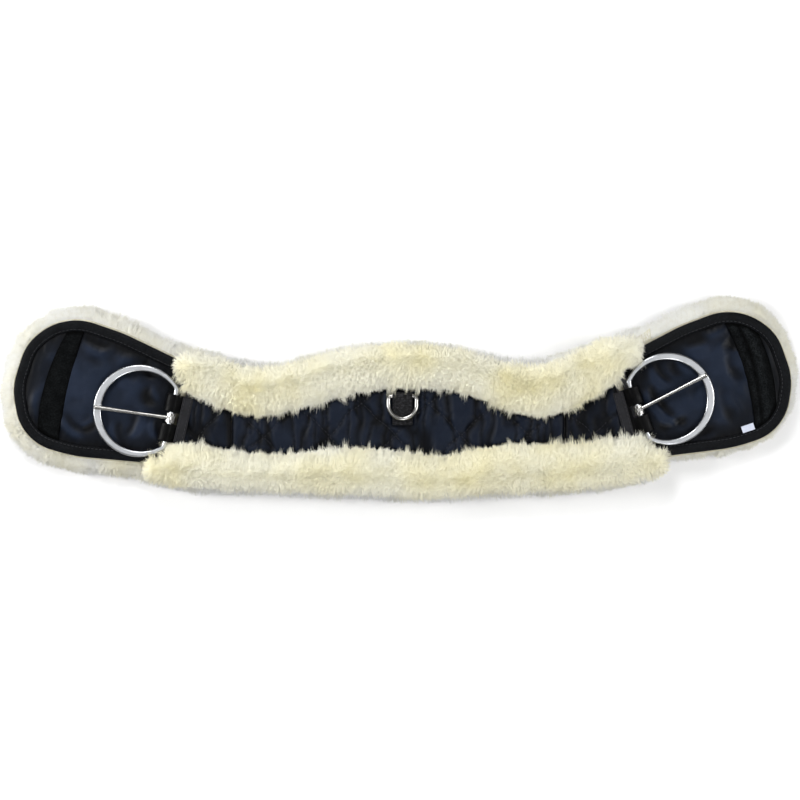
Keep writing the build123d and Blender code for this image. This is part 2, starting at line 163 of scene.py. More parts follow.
def apply_modifiers(made):
    """Bakes an object's modifiers into its mesh."""
    graph = bpy.context.evaluated_depsgraph_get()
    fresh = bpy.data.meshes.new_from_object(made.evaluated_get(graph))
    made.modifiers.clear()
    made.data = fresh


def subdivided(made):
    """One round of subdivision, baked."""
    refine = made.modifiers.new("refine", "SUBSURF")
    refine.levels = refine.render_levels = 1
    apply_modifiers(made)


def tree_of(points):
    """A search tree over points; flat points lie at height 0."""
    tree = kdtree.KDTree(len(points))
    for number, spot in enumerate(points):
        tree.insert((*spot, 0)[:3], number)
    tree.balance()
    return tree


def nearest_in(tree, points):
    """The number of the tree's point nearest to each flat point."""
    return np.array([tree.find((point[0], point[1], 0))[1] for point in points])


def triangles_of(mesh):
    mesh.calc_loop_triangles()
    flat = np.empty(len(mesh.loop_triangles) * 3, np.int32)
    mesh.loop_triangles.foreach_get("vertices", flat)
    return flat.reshape(-1, 3)


def resampled(points, count, closed=True):
    """The same line with evenly spaced points."""
    if closed:
        points = np.vstack([points, points[:1]])
    run = np.concatenate([[0], np.cumsum(np.linalg.norm(np.diff(points, axis=0), axis=1))])
    at = np.linspace(0, run[-1], count + 1)[:-1] if closed else np.linspace(0, run[-1], count)
    return np.column_stack([np.interp(at, run, points[:, axis]) for axis in range(points.shape[1])])


def top_outline(node, count):
    """The outline of a flat-topped CAD node, anticlockwise."""
    mesh = nodes[node].data
    points = coordinates(mesh)
    keys = {}
    index = np.array([keys.setdefault(tuple(np.round(p, 2)), len(keys)) for p in points])
    merged = np.array(list(keys), float)
    faces = index[triangles_of(mesh)]
    top = merged[:, 2].max()
    faces = faces[(merged[faces][:, :, 2] > top - 0.05).all(axis=1)]
    follow = {}
    edges = {(a, b) for face in faces.tolist() for a, b in zip(face, face[1:] + face[:1])}
    for a, b in edges:
        if (b, a) not in edges:
            follow[a] = b
    start = next(iter(follow))
    loop = [start]
    while follow[loop[-1]] != start:
        loop.append(follow[loop[-1]])
    outline = merged[loop][:, :2]
    x, y = outline.T
    if np.dot(x, np.roll(y, -1)) < np.dot(y, np.roll(x, -1)):
        outline = outline[::-1]
    return resampled(outline, count)


def outward(loop):
    """Unit normals of an anticlockwise loop."""
    along = np.roll(loop, -2, axis=0) - np.roll(loop, 2, axis=0)
    normal = np.column_stack([along[:, 1], -along[:, 0]])
    return normal / np.linalg.norm(normal, axis=1, keepdims=True)


def inside(points, loop):
    """Which points lie inside a closed loop."""
    crossings = np.zeros(len(points), int)
    for a, b in zip(loop, np.roll(loop, -1, axis=0)):
        spans = (a[1] > points[:, 1]) != (b[1] > points[:, 1])
        rise = b[1] - a[1] if b[1] != a[1] else 1e-9
        crossings += spans & (points[:, 0] < (b[0] - a[0]) * (points[:, 1] - a[1]) / rise + a[0])
    return crossings % 2 == 1


def distance_to(points, line):
    """Distance from each point to the nearest point of a densely sampled line."""
    tree = tree_of(line)
    return np.array([tree.find((p[0], p[1], 0))[2] for p in points])


def patch(loop, spacing, seed):
    """A flat, evenly triangulated cloth inside a loop: points, triangles and the rim's count."""
    rng = np.random.default_rng(seed)
    low, high = loop.min(axis=0), loop.max(axis=0)
    row = spacing * math.sqrt(3) / 2
    ys = np.arange(low[1], high[1], row)
    xs = np.arange(low[0], high[0], spacing)
    grid = np.array([(x + spacing / 2 * (number % 2), y) for number, y in enumerate(ys) for x in xs])
    grid += rng.uniform(-0.18, 0.18, grid.shape) * spacing
    grid = grid[inside(grid, loop)]
    grid = grid[distance_to(grid, loop) > 0.7 * spacing]
    flat = np.vstack([loop, grid])
    rim = [(i, (i + 1) % len(loop)) for i in range(len(loop))]
    points, _, faces, *_ = delaunay_2d_cdt([Vector(p) for p in flat], rim, [], 1, 1e-5)
    return np.array([tuple(p) for p in points]), np.array(faces), len(loop)


def local_to(side, points):
    """World x, y as the pad's own u (towards its tip) and v (towards the concave edge)."""
    flip = -1.0 if side == "left" else 1.0
    turn = math.radians(PAD_TURN[side])
    x = (points[:, 0] - PAD_MIDDLE[side][0]) * flip
    y = points[:, 1] - PAD_MIDDLE[side][1]
    cos, sin = math.cos(turn), math.sin(turn)
    return np.column_stack([x * cos + y * sin, y * cos - x * sin])


def from_local(side, points):
    """The pad's own u, v as world x, y."""
    flip = -1.0 if side == "left" else 1.0
    turn = math.radians(PAD_TURN[side])
    u, v = points[:, 0], points[:, 1]
    x = u * math.cos(turn) - v * math.sin(turn)
    y = u * math.sin(turn) + v * math.cos(turn)
    return np.column_stack([PAD_MIDDLE[side][0] + flip * x, PAD_MIDDLE[side][1] + y])


def settle(made, pinned, rest, pressure, frames, limit, bending=0.02):
    """Lets cloth find its wrinkles: its rest shape is larger than the room it has, so it buckles.
    The result is written to the mesh, with no point more than `limit` from where it began."""
    start = coordinates(made.data)
    group = made.vertex_groups.new(name="pinned")
    group.add([int(i) for i in pinned], 1.0, "REPLACE")
    made.shape_key_add(name="start")
    full = made.shape_key_add(name="full_size")
    full.data.foreach_set("co", (rest * MM).astype(np.float32).ravel())
    full.value = 0.0
    cloth = made.modifiers.new("cloth", "CLOTH")
    settings = cloth.settings
    settings.vertex_group_mass = "pinned"
    settings.rest_shape_key = full
    settings.quality = 5
    settings.mass = 0.002
    settings.tension_stiffness = settings.compression_stiffness = 15.0
    settings.shear_stiffness = 5.0
    settings.bending_stiffness = bending
    settings.use_pressure = True
    settings.uniform_pressure_force = pressure
    settings.effector_weights.gravity = 0.0
    cloth.collision_settings.use_collision = False
    scene = bpy.context.scene
    cloth.point_cache.frame_start, cloth.point_cache.frame_end = 1, frames
    for number in range(1, frames + 1):
        scene.frame_set(number)
    graph = bpy.context.evaluated_depsgraph_get()
    ended = made.evaluated_get(graph).to_mesh()
    moved = coordinates(ended) - start
    made.evaluated_get(graph).to_mesh_clear()
    scene.frame_set(1)
    made.modifiers.clear()
    made.shape_key_clear()
    made.vertex_groups.clear()
    far = np.linalg.norm(moved, axis=1, keepdims=True)
    moved *= limit * np.tanh(far / limit) / np.maximum(far, 1e-9)
    set_coordinates(made.data, start + moved)


# ==== Materials ====
class Shader:
    """A material whose nodes are added one call at a time."""

    def __init__(self, name):
        self.material = bpy.data.materials.new(name)
        self.material.use_nodes = True
        self.tree = self.material.node_tree
        self.surface = self.tree.nodes["Principled BSDF"]
        self.place = self.add("ShaderNodeTexCoord").outputs["Object"]

    def plug(self, value, socket):
        """Feeds a socket from another socket, an rgb or a number."""
        if isinstance(value, bpy.types.NodeSocket):
            self.tree.links.new(value, socket)
        else:
            socket.default_value = (*value, 1.0) if isinstance(value, tuple) else value

    def add(self, kind, settings=None, **inputs):
        node = self.tree.nodes.new(kind)
        for key, value in (settings or {}).items():
            setattr(node, key, value)
        for key, value in inputs.items():
            self.plug(value, node.inputs[key.replace("_", " ")])
        return node

    def noise(self, scale, detail=3.0, rough=0.5, place=None):
        """Cloudy variation; scale is in waves per metre."""
        node = self.add("ShaderNodeTexNoise", Scale=scale, Detail=detail, Roughness=rough,
                        Vector=place or self.place)
        return node.outputs["Fac"]

    def ramp(self, value, stops):
        """Colours along a value, each stop a position and an rgb or a grey."""
        node = self.add("ShaderNodeValToRGB", Fac=value)
        while len(node.color_ramp.elements) < len(stops):
            node.color_ramp.elements.new(0.5)
        for element, (position, colour) in zip(node.color_ramp.elements, stops):
            rgb = (colour,) * 3 if isinstance(colour, (int, float)) else colour
            element.position = position
            element.color = (*rgb, 1.0)
        return node.outputs["Color"]

    def mix(self, share, first, second, blend="MIX"):
        node = self.add("ShaderNodeMix", {"data_type": "RGBA", "blend_type": blend})
        sockets = [s for s in node.inputs if s.enabled]
        for socket, value in zip(sockets, (share, first, second)):
            self.plug(value, socket)
        return next(s for s in node.outputs if s.enabled)

    def bump(self, height, strength, distance, after=None):
        node = self.add("ShaderNodeBump", Height=height, Strength=strength, Distance=distance)
        if after is not None:
            self.tree.links.new(after, node.inputs["Normal"])
        return node.outputs["Normal"]

    def finish(self, colour, roughness, normal=None, **constants):
        for name, value in (("Base Color", colour), ("Roughness", roughness), ("Normal", normal)):
            if value is not None:
                self.plug(value, self.surface.inputs[name])
        for name, value in constants.items():
            self.surface.inputs[name.replace("_", " ")].default_value = value
        return self.material


WAVE_PITCH = 0.314         # a wave texture of scale 1 repeats after this many metres


def woven(shader, pitch, strength, distance, turn=0.0, after=None):
    """Bump of a plain weave: two sets of fine ridges across each other."""
    turned = shader.add("ShaderNodeMapping", Vector=shader.place)
    turned.inputs["Rotation"].default_value = (0, 0, math.radians(turn))
    waves = []
    for axis in ("X", "Y"):
        wave = shader.add("ShaderNodeTexWave", {"wave_type": "BANDS", "bands_direction": axis},
                          Vector=turned.outputs["Vector"], Scale=WAVE_PITCH / pitch,
                          Distortion=0.6, Detail=1.0)
        waves.append(wave.outputs["Fac"])
    both = shader.add("ShaderNodeMath", {"operation": "MULTIPLY"})
    shader.tree.links.new(waves[0], both.inputs[0])
    shader.tree.links.new(waves[1], both.inputs[1])
    return shader.bump(both.outputs["Value"], strength, distance, after)


def wool_material():
    """Cream pile: yellow patches on its crown, paler sides, and grey-white low down."""
    s = Shader("cream_wool")
    height = s.add("ShaderNodeSeparateXYZ", Vector=s.place).outputs["Z"]
    rise = s.add("ShaderNodeMapRange", Value=height)
    rise.inputs["From Min"].default_value = 0.004
    rise.inputs["From Max"].default_value = 0.036
    tone = s.ramp(rise.outputs["Result"], [
        (0.0, (0.84, 0.845, 0.81)), (0.33, (0.90, 0.90, 0.855)), (0.45, (0.945, 0.94, 0.87)),
        (0.7, (0.99, 0.975, 0.855)), (1.0, (0.99, 0.97, 0.80))])
    patches = s.ramp(s.noise(17, 2, 0.5), [(0.42, (1.0, 1.0, 1.0)), (0.85, (1.0, 0.955, 0.73))])
    locks = s.ramp(s.noise(260, 3, 0.6), [(0.32, (0.93, 0.92, 0.885)), (0.56, (1.0, 1.0, 1.0))])
    colour = s.mix(1.0, s.mix(1.0, tone, patches, "MULTIPLY"), locks, "MULTIPLY")
    normal = s.bump(s.noise(900, 3, 0.6), 0.15, 0.0004)
    return s.finish(colour, 0.95, normal, Sheen_Weight=0.2, Sheen_Roughness=0.7, Specular_IOR_Level=0.05)


def cloth_material(name, dark, light, scale, roughness, pitch, weave, shine,
                   mottle=0.0, turn=0.0, valley=None, fold_shade_and_highlight=()):
    """Woven cloth: slight cloudy variation and a fine weave. valley is the heights, in metres,
    of the bottoms and the crests of its folds, and the ramp after it paints shade into the bottoms and
    highlight onto the crests."""
    s = Shader(name)
    colour = s.ramp(s.noise(scale, 4, 0.6), [(0.35, dark), (0.68, light)])
    # painted shade and painted highlight: the colour is darkened down in the folds and brightened on
    # their crests, by height
    if valley:
        height = s.add("ShaderNodeSeparateXYZ", Vector=s.place).outputs["Z"]
        rise = s.add("ShaderNodeMapRange", Value=height)
        rise.inputs["From Min"].default_value, rise.inputs["From Max"].default_value = valley
        colour = s.mix(1.0, colour, s.ramp(rise.outputs["Result"], fold_shade_and_highlight), "MULTIPLY")
    if mottle:
        specks = s.ramp(s.noise(700, 2, 0.7), [(0.4, 0.15), (0.7, 2.0)])
        colour = s.mix(mottle, colour, specks, "MULTIPLY")
    soft = s.bump(s.noise(scale * 2.5, 3, 0.5), 0.25, 0.0012)
    normal = woven(s, pitch, weave, pitch * 0.35, turn, soft)
    rough = s.ramp(s.noise(scale * 1.7, 2, 0.5), [(0.3, roughness - 0.07), (0.7, roughness + 0.07)])
    return s.finish(colour, rough, normal, Specular_IOR_Level=shine)


def leather_material(name, dark, light, roughness, shine):
    """Grained leather: pebbled cells, faint creases and a waxed finish."""
    s = Shader(name)
    cells = s.add("ShaderNodeTexVoronoi", {"feature": "DISTANCE_TO_EDGE"}, Vector=s.place, Scale=1300.0)
    colour = s.ramp(s.noise(160, 4, 0.6), [(0.35, dark), (0.7, light)])
    grain = s.bump(cells.outputs["Distance"], 0.35, 0.0003)
    normal = s.bump(s.noise(300, 5, 0.6), 0.2, 0.0008, grain)
    rough = s.ramp(s.noise(220, 3, 0.5), [(0.3, roughness - 0.08), (0.7, roughness + 0.08)])
    return s.finish(colour, rough, normal, Specular_IOR_Level=shine)


def steel_material(name, colour, flat_roughness, edge_roughness, brushed, dents):
    """Stainless steel: a satin face where it looks straight up, polished round its edges, whose colour is
    darkened there as painted shade.
    """
    s = Shader(name)
    up = s.add("ShaderNodeSeparateXYZ", Vector=s.add("ShaderNodeTexCoord").outputs["Normal"]).outputs["Z"]
    face = s.ramp(up, [(0.90, 0.0), (0.985, 1.0)])
    worn = s.ramp(s.noise(240, 5, 0.65), [(0.35, 0.0), (0.75, 0.5 * dents)])
    rough = s.mix(face, (edge_roughness,) * 3, (flat_roughness,) * 3)
    rough = s.mix(1.0, rough, worn, "ADD")
    stretched = s.add("ShaderNodeMapping", Vector=s.place)
    stretched.inputs["Scale"].default_value = (0.25, 1.0, 1.0)
    lines = s.noise(2600, 3, 0.7, stretched.outputs["Vector"])
    dented = s.bump(s.noise(45, 2, 0.5), dents, 0.0030)
    normal = s.bump(lines, brushed, 0.00008, dented)
    tone = s.ramp(s.noise(90, 3, 0.5), [(0.3, tuple(c * 0.90 for c in colour)), (0.7, colour)])
    # painted shade: where the steel doesn't look straight up, round its edges, the colour is darkened to
    # 0.62
    tone = s.mix(face, tuple(c * 0.62 for c in colour), tone)
    return s.finish(tone, rough, normal, Metallic=1.0)


def plain_material(name, dark, light, roughness, scale=300, depth=0.0005):
    """A hidden or small piece: clouded colour with a fine bump."""
    s = Shader(name)
    colour = s.ramp(s.noise(scale, 3, 0.6), [(0.35, dark), (0.7, light)])
    normal = s.bump(s.noise(scale * 6, 3, 0.6), 0.3, depth)
    return s.finish(colour, roughness, normal)


wool = wool_material()
# nylon, quilted cotton and elastic take painted shade in their fold bottoms and painted highlight on
# their crests from valley and the ramp after it
nylon = cloth_material(
    "navy_nylon", (0.0044, 0.0074, 0.0146), (0.0076, 0.0116, 0.0222), 22, 0.46,
    0.00045, 0.10, 0.13, turn=8, valley=(0.0199, 0.0226), fold_shade_and_highlight=((0.0, 0.10), (0.38, 0.55), (0.85, 1.7)))
quilted = cloth_material(
    "navy_quilted_cotton", (0.0034, 0.0053, 0.0108), (0.0060, 0.0090, 0.0164), 34, 0.46,
    0.0006, 0.25, 0.10, turn=38, valley=(0.0219, 0.0263),
    fold_shade_and_highlight=((0.0, 0.03), (0.36, 0.25), (0.85, 1.45)))
tape = cloth_material(
    "black_binding_tape", (0.0017, 0.0022, 0.0033), (0.0036, 0.0045, 0.0060), 60, 0.40,
    0.0005, 0.50, 0.09, mottle=0.7, turn=20)
elastic = cloth_material(
    "black_brushed_elastic", (0.0020, 0.0024, 0.0027), (0.0048, 0.0055, 0.0060), 120, 0.8,
    0.0009, 0.5, 0.04, mottle=0.8, valley=(0.0210, 0.0242), fold_shade_and_highlight=((0.0, 0.05), (0.4, 0.6), (0.9, 2.6)))
webbing = cloth_material(
    "coarse_black_webbing", (0.0006, 0.0006, 0.0008), (0.0340, 0.0340, 0.0380), 620, 0.4,
    0.0016, 1.0, 0.15, mottle=0.9, turn=45)
black_leather = leather_material(
    "black_harness_leather", (0.0008, 0.0008, 0.0010), (0.0018, 0.0018, 0.0021), 0.38, 0.09)
grey_leather = leather_material(
    "grey_black_leather", (0.0055, 0.0055, 0.007), (0.012, 0.012, 0.015), 0.5, 0.25)
hide = plain_material("cream_hide", (0.60, 0.56, 0.42), (0.74, 0.70, 0.55), 0.85, 120)
foam = plain_material("grey_foam", (0.05, 0.05, 0.055), (0.09, 0.09, 0.10), 0.95, 500)
satin_steel = steel_material("satin_stainless", (0.72, 0.74, 0.77), 0.34, 0.20, 0.30, 0.2)
bright_steel = steel_material("polished_stainless", (0.62, 0.61, 0.59), 0.26, 0.24, 0.002, 0.01)
thread = plain_material("black_thread", (0.004, 0.005, 0.007), (0.011, 0.013, 0.018), 0.5, 2000, 0.0001)
navy_thread = plain_material(
    "navy_thread", (0.006, 0.008, 0.014), (0.014, 0.018, 0.029), 0.6, 2000, 0.0001)
label_tape = cloth_material(
    "white_label_tape", (0.56, 0.60, 0.70), (0.66, 0.70, 0.82), 150, 0.7, 0.0005, 0.4, 0.1)

KEPT = {"lining_hide": hide, "core_foam": foam, "core_webbing": webbing, "center_ring": bright_steel}
for side in SIDES:
    KEPT[f"pad_foam_{side}"] = foam
    KEPT[f"buckle_frame_{side}"] = satin_steel
    KEPT[f"buckle_tongue_{side}"] = bright_steel
for name, material in KEPT.items():
    for slot in nodes[name].material_slots:
        slot.material = material


# ==== Wool ====
def remeshed(node, name, voxel, rounds, material):
    """A copy of a CAD solid with an even skin and softened corners."""
    made = piece(name, nodes[node].data.copy(), material)
    remesh = made.modifiers.new("remesh", "REMESH")
    remesh.mode = "VOXEL"
    remesh.voxel_size = voxel * MM
    soften = made.modifiers.new("soften", "SMOOTH")
    soften.factor = 0.5
    soften.iterations = rounds
    apply_modifiers(made)
    shade_smooth(made.data)
    return made


def wool_base(node, name, lump, seed, low=0.0):
    """The body of the pile: the CAD shape with soft lumps."""
    made = remeshed(node, name, 3.0, 10, wool)
    mesh = made.data
    points = coordinates(mesh)
    swell = lump * smooth_noise(points, 16.0, seed) + 0.4 * lump * smooth_noise(points, 6.0, seed + 5)
    points = points + normals_of(mesh) * (swell - 0.6 * lump)[:, None]
    points[:, 2] = np.maximum(points[:, 2], low)
    set_coordinates(mesh, points)
    return made


def surface_samples(mesh, count, keep, seed):
    """Evenly scattered points on a mesh, with their normals."""
    rng = np.random.default_rng(seed)
    points = coordinates(mesh)
    faces = triangles_of(mesh)
    corners = points[faces]
    cross = np.cross(corners[:, 1] - corners[:, 0], corners[:, 2] - corners[:, 0])
    area = np.linalg.norm(cross, axis=1) / 2
    normal = cross / np.maximum(2 * area[:, None], 1e-9)
    weight = area * keep(corners.mean(axis=1), normal)
    chosen = rng.choice(len(faces), count, p=weight / weight.sum())
    first, second = rng.random(count), rng.random(count)
    over = first + second > 1
    first[over], second[over] = 1 - first[over], 1 - second[over]
    spots = corners[chosen, 0] + first[:, None] * (corners[chosen, 1] - corners[chosen, 0]) \
        + second[:, None] * (corners[chosen, 2] - corners[chosen, 0])
    soft = normals_of(mesh)[faces[chosen]].mean(axis=1)
    return spots, soft / np.linalg.norm(soft, axis=1, keepdims=True)


def strands(name, roots, normals, length, width, combed, clump, seed, per_lock, over=(0, 0, 0)):
    """Closed, tapering, slightly curled strands of wool that gather into locks of about
    per_lock strands. combed is how far the strands lie over, sideways and down the slope of
    the pile; over is a lean that every strand shares."""
    rng = np.random.default_rng(seed)
    count = len(roots)
    sideways = normals.copy()
    sideways[:, 2] = 0
    steep = np.linalg.norm(sideways, axis=1, keepdims=True)
    sideways *= np.minimum(1.0, 2.5 * steep) / np.maximum(steep, 1e-6)
    drift = np.column_stack([smooth_noise(roots, 22.0, seed + 1), smooth_noise(roots, 22.0, seed + 2),
                             np.zeros(count)])
    lean = combed * sideways + 0.70 * drift + rng.normal(0, 0.15, (count, 3)) + over
    locks = rng.choice(count, max(2, count // per_lock), replace=False)
    tree = tree_of(roots[locks])
    nearest = np.array([tree.find(root)[1] for root in roots])
    centre = roots[locks][nearest]
    reach = length * rng.uniform(0.55, 1.15, count) * rng.uniform(0.75, 1.25, len(locks))[nearest]
    direction = normals + lean
    direction /= np.linalg.norm(direction, axis=1, keepdims=True)
    tip = roots + direction * reach[:, None] + clump * (centre - roots)
    tip[:, 2] -= 0.10 * reach * combed
    half = normals * (reach * 0.5)[:, None]
    middle = roots + half + 0.32 * (tip - roots - half)
    middle += rng.normal(0, 0.05, (count, 3)) * reach[:, None]
    middle[:, 2] = np.maximum(middle[:, 2], WOOL_FLOOR)
    tip[:, 2] = np.maximum(tip[:, 2], WOOL_FLOOR)
    base = roots - normals * 0.8
    base[:, 2] = np.maximum(base[:, 2], WOOL_FLOOR)
    axis = tip - base
    axis /= np.linalg.norm(axis, axis=1, keepdims=True)
    helper = rng.normal(0, 1, (count, 3))
    side = np.cross(axis, helper)
    side /= np.linalg.norm(side, axis=1, keepdims=True)
    other = np.cross(axis, side)
    thick = width * rng.uniform(0.7, 1.25, count)
    rings = []
    for centre_line, share in ((base, 0.5), (middle, 0.42)):
        for corner in range(3):
            angle = 2 * math.pi * corner / 3
            arm = side * math.cos(angle) + other * math.sin(angle)
            rings.append(centre_line + arm * (thick * share)[:, None])
    points = np.stack([*rings, tip], axis=1).reshape(-1, 3)
    pattern = [(0, 2, 1)]
    for corner in range(3):
        after = (corner + 1) % 3
        pattern += [(corner, after, 3 + after), (corner, 3 + after, 3 + corner)]
        pattern.append((3 + corner, 3 + after, STRAND_POINTS - 1))
    faces = (np.array(pattern)[None] + STRAND_POINTS * np.arange(count)[:, None, None]).reshape(-1, 3)
    mesh = triangle_mesh(name, points, faces)
    made = piece(name, mesh, wool)
    soft = direction * 0.15 + normals * 0.75 + [0.0, 0.0, 0.45]
    blended = 0.12 * normals_of(mesh) + np.repeat(soft, STRAND_POINTS, axis=0)
    blended /= np.linalg.norm(blended, axis=1, keepdims=True)
    mesh.normals_split_custom_set_from_vertices(blended.astype(np.float32))
    layer = mesh.uv_layers.new(name="OFBake")
    flat = points[faces.ravel()][:, :2]
    low, high = flat.min(axis=0), flat.max(axis=0)
    layer.data.foreach_set("uv", ((flat - low) / (high - low)).astype(np.float32).ravel())
    return made


def as_wool(made, node):
    for each in made:
        dress(each, "girth", "sheepskin", node)


def wool_roll(node, label, seed, count, inner):
    """One fleece roll: its body, its short dense pile and the ragged tufts along its inner edge.
    inner is the sign of y towards the navy middle."""
    base = wool_base(node, f"{label}_body", 1.1, seed)
    mesh = base.data
    low, high = (np.array(corner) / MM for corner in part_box(node))
    made = [base]

    share = count // 2
    for part in range(2):
        def half(spots, normals, part=part):
            across = spots[:, 0] > (low[0] + high[0]) / 2
            return (normals[:, 2] > -0.55) * (across if part else ~across)
        spots, normals = surface_samples(mesh, share, half, seed + part)
        length = 6.5 + 2.6 * smooth_noise(spots, 11.0, seed + 9)
        made.append(strands(f"{label}_pile_{part + 1}", spots, normals, length, 0.58, 0.75, 0.24,
                            seed + 3 + part, 12, over=(0.0, 0.45 * inner, 0.0)))

    def edges(spots, normals):
        return (inner * normals[:, 1] > 0.5) * (spots[:, 2] > 17.0) * 1.0
    count_tufts = count // 3
    spots, normals = surface_samples(mesh, count_tufts, edges, seed + 20)
    length = 6.5 + 6.0 * np.clip(smooth_noise(spots, 7.0, seed + 21), -0.5, 1.0)
    made.append(strands(f"{label}_tufts", spots, normals, length, 0.24, 1.0, 0.30, seed + 22, 7))

    def clusters(spots, normals):
        return edges(spots, normals) * (smooth_noise(spots, 5.5, seed + 30, 1) > 0.30)
    spots, normals = surface_samples(mesh, WISP_COUNT, clusters, seed + 31)
    length = 12.0 + 3.5 * smooth_noise(spots, 6.0, seed + 32)
    made.append(strands(f"{label}_wisps", spots, normals, length, 0.20, 1.1, 0.32, seed + 33, 6))
    as_wool(made, node)


def wool_lining():
    """The pile under the girth: lumpy body, and strands round its whole edge that lean away from it."""
    base = wool_base("fleece_lining", "lining_body", 0.9, 71, low=0.0)
    loop = top_outline("fleece_lining", 900)
    middle = loop.mean(axis=0)
    covers = {side: pad_outline(side, -1.0) for side in SIDES}
    seams = np.vstack([resampled(cover, 500) for cover in covers.values()])
    seam_tree = tree_of(seams)
    made = [base]
    for part, (start, end) in enumerate(zip(LINING_STRETCHES, LINING_STRETCHES[1:])):
        at_middle = start >= -150 and end <= 150
        def rim(spots, normals, start=start, end=end):
            near = distance_to(spots[:, :2], loop) < 22.0
            covered = inside(spots[:, :2], covers["left"]) | inside(spots[:, :2], covers["right"])
            top = near & (normals[:, 2] >= 0.6) & ~covered
            edge = (normals[:, 2] < 0.6) & (normals[:, 2] > -0.75)
            return (edge | top) * (spots[:, 0] > start) * (spots[:, 0] < end) * 1.0
        count = 9500 if at_middle else 19500
        spots, normals = surface_samples(base.data, count, rim, 80 + part)
        away = spots[:, :2] - seams[nearest_in(seam_tree, spots)]
        away /= np.maximum(np.linalg.norm(away, axis=1, keepdims=True), 1e-6)
        if at_middle:
            away = np.column_stack([np.zeros(count), np.sign(spots[:, 1] - middle[1])])
        flat_top = np.clip(normals[:, 2], 0, 1)[:, None]
        normals[:, :2] += 0.55 * flat_top * away
        normals /= np.linalg.norm(normals, axis=1, keepdims=True)
        length = (6.0 if start >= 150 else 7.0) + 3.0 * smooth_noise(spots, 10.0, 89)
        made.append(strands(f"lining_pile_{part + 1}", spots, normals, length, 0.42, 0.7, 0.26,
                            90 + part, 9))
    as_wool(made, "fleece_lining")


# ==== End pads ====
def solid_cloth(made, thickness):
    """Gives cloth its thickness, downwards."""
    thicken = made.modifiers.new("thicken", "SOLIDIFY")
    thicken.thickness = thickness * MM
    thicken.offset = -1.0
    apply_modifiers(made)
    shade_smooth(made.data)


def pad_outline(side, inset):
    """The pad's outline, drawn in from its edge."""
    loop = top_outline(f"pad_cover_{side}", 360)
    return loop + outward(loop) * (COVER_INSET - inset)


# start x and y, end x and y, half width and height of the soft folds in each pad's nylon
PAD_FOLDS = {
    "left": [
        (-320, 58, -292, 46, 4, 1), (-293, 55, -268, 38, 5, 0.8), (-257, 40, -246, 22, 4, -1),
        (-340, -20, -318, -38, 3.5, 1), (-318, -30, -304, -22, 3, -0.9), (-291, -24, -283, -48, 4, 0.9),
        (-270, -38, -259, -14, 3.5, 1.1), (-250, -18, -243, -42, 3, 1.2), (-256, 12, -248, -6, 4, -0.9),
        (-284, 22, -262, 14, 5, 0.6), (-300, 30, -312, 2, 6, 0.6), (-362, 12, -366, -18, 4, 0.9),
    ],
    "right": [
        (299, 66, 327, 73, 4, 1), (284, 48, 312, 58, 5, 0.9), (249, 34, 266, 12, 4, 1.1),
        (252, -2, 279, -28, 4, 1.1), (259, -27, 286, -18, 3.5, -1), (312, 6, 326, -26, 5, 0.8),
        (318, 52, 333, 14, 5, 0.8), (270, 40, 281, 24, 4, -0.8), (244, 12, 258, -12, 3.5, 1.2),
        (296, -8, 304, 18, 5, 0.6), (330, 66, 336, 50, 3.5, -0.9), (290, -40, 316, -34, 4, 0.9),
    ],
}


def folds(points, lines):
    """Relief of soft folds: a rounded ridge with a shallow valley beside it, fading at both ends."""
    relief = np.zeros(len(points))
    for *ends, width, height in lines:
        start, end = np.array(ends, float).reshape(2, 2)
        run = np.linalg.norm(end - start)
        along = (end - start) / run
        offset = points - start
        share = offset @ along / run
        across = offset @ np.array([-along[1], along[0]]) + 0.12 * run * np.sin(math.pi * share)
        fade = np.exp(-((share - 0.5) / 0.48) ** 4)
        wide = 1.3 * width
        ridge = np.exp(-(across / wide) ** 2) - 0.6 * np.exp(-((across - 1.5 * wide) / (0.8 * wide)) ** 2)
        relief += height * fade * ridge
    return relief


def pad_cover(side):
    """Navy nylon over foam, drawn down at its edge by the binding, with soft wrinkles."""
    loop = resampled(pad_outline(side, 9.0), 240)
    flat, faces, rim = patch(loop, 2.4, 5 if side == "left" else 6)
    local = local_to(side, flat)
    edge = distance_to(flat, loop)
    puff = 1.0 - np.exp(-edge / 9.0)
    height = COVER_Z - 0.5 + 1.5 * puff
    seed = 11 if side == "left" else 12
    undulation = 0.9 * smooth_noise(flat, 22.0, seed) + 0.5 * smooth_noise(flat, 9.0, seed + 40)
    height += (undulation + 2.2 * folds(flat, PAD_FOLDS[side])) * puff
    start = np.column_stack([flat, height])
    made = piece(f"pad_nylon_{side}", triangle_mesh("nylon", start, faces), nylon)
    middle = flat.mean(axis=0)
    rest = start.copy()
    rest[:, :2] = middle + (flat - middle) * 1.035
    settle(made, np.arange(rim), rest, 0.6, 16, 1.6, bending=0.05)
    points = coordinates(made.data)
    puckers = np.sin(local[:, 0] * 0.9 + 2.0 * smooth_noise(flat, 20.0, seed + 3))
    height = points[:, 2] + 0.30 * (puckers * np.exp(-edge / 6.0) * (edge > 0.5))
    over = height - PAD_CEILING
    flattened = PAD_CEILING + PAD_CEILING_GIVE * np.tanh(over / PAD_CEILING_GIVE)
    points[:, 2] = np.where(over > 0, flattened, height)
    set_coordinates(made.data, points)
    subdivided(made)
    solid_cloth(made, 0.9)
    dress(made, "girth", "nylon", f"pad_cover_{side}")


BINDING_PROFILE = [
    (7.5, 15.6), (3.5, 15.45), (0.7, 15.5), (0.05, 16.4), (-0.1, 18.4), (0.1, 20.2), (0.9, 21.3),
    (2.6, 21.75), (5.2, 21.85), (8.0, 21.7), (10.0, 21.35), (11.0, 20.9), (11.1, 20.5), (10.2, 20.3),
    (6.0, 20.4), (1.9, 20.2), (1.5, 18.4), (1.7, 16.6), (4.0, 16.5), (7.5, 16.5),
]


